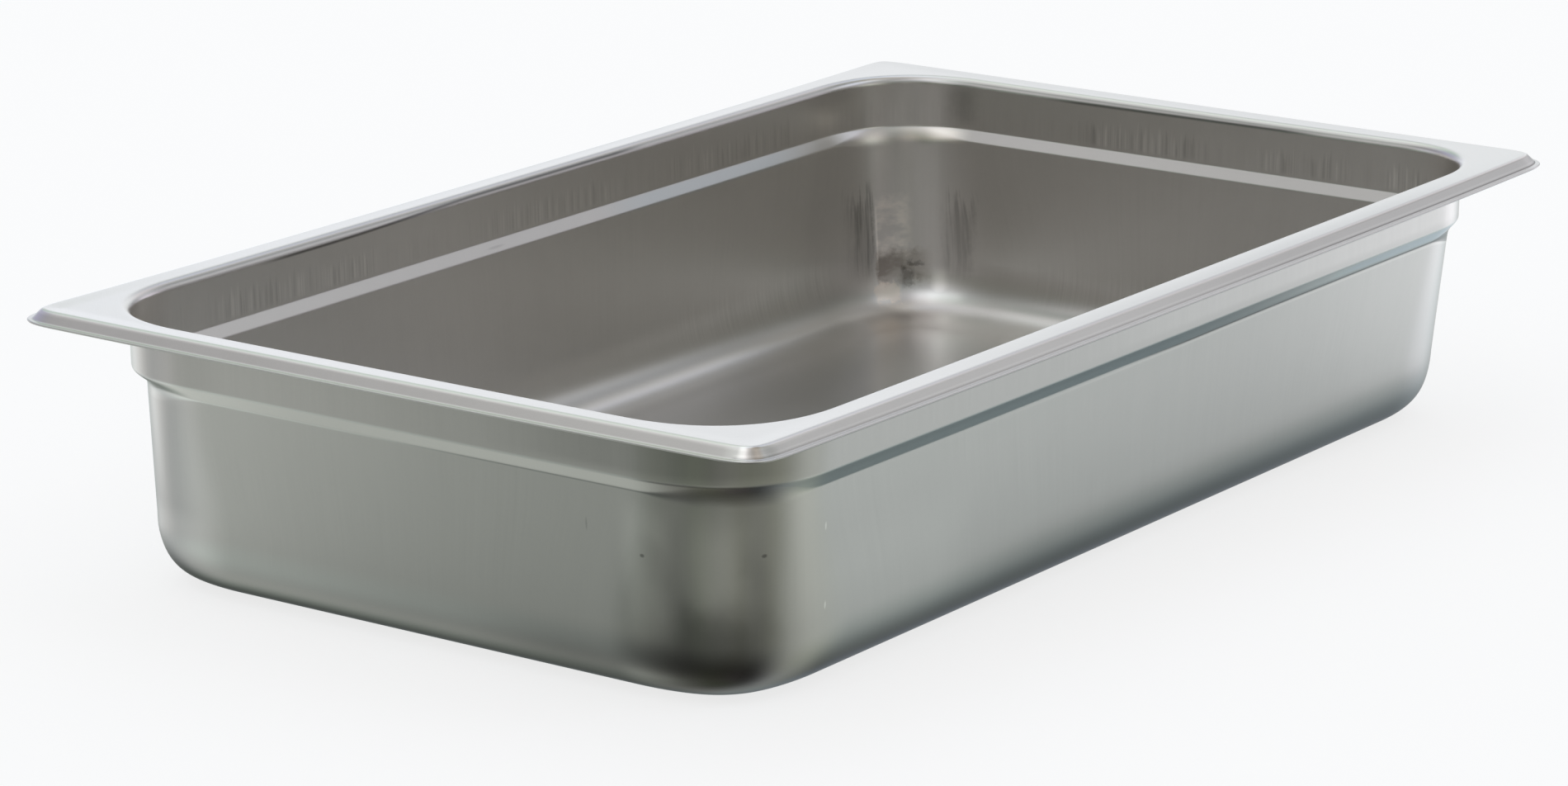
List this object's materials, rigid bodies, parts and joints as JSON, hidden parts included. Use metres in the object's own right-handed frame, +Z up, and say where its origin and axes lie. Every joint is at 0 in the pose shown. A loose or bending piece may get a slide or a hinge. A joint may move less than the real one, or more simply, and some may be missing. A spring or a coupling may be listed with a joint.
{
  "type": "food pan",
  "caption": "Full-size rectangular stainless steel food pan, deep-drawn, with a flat flange, a down-turned lip, a stacking shoulder and a rounded well.",
  "frame": {"origin": "centre of the floor's underside", "axes": "+X along the length, +Y along the width, +Z up out of the open well"},
  "size_m": [0.53, 0.325, 0.1024],
  "materials": {
    "stainless_steel": "satin drawn stainless steel with fine vertical draw lines and a brighter flange"
  },
  "bodies": {
    "root": {"food_pan": "stainless_steel"}
  },
  "joints": []
}
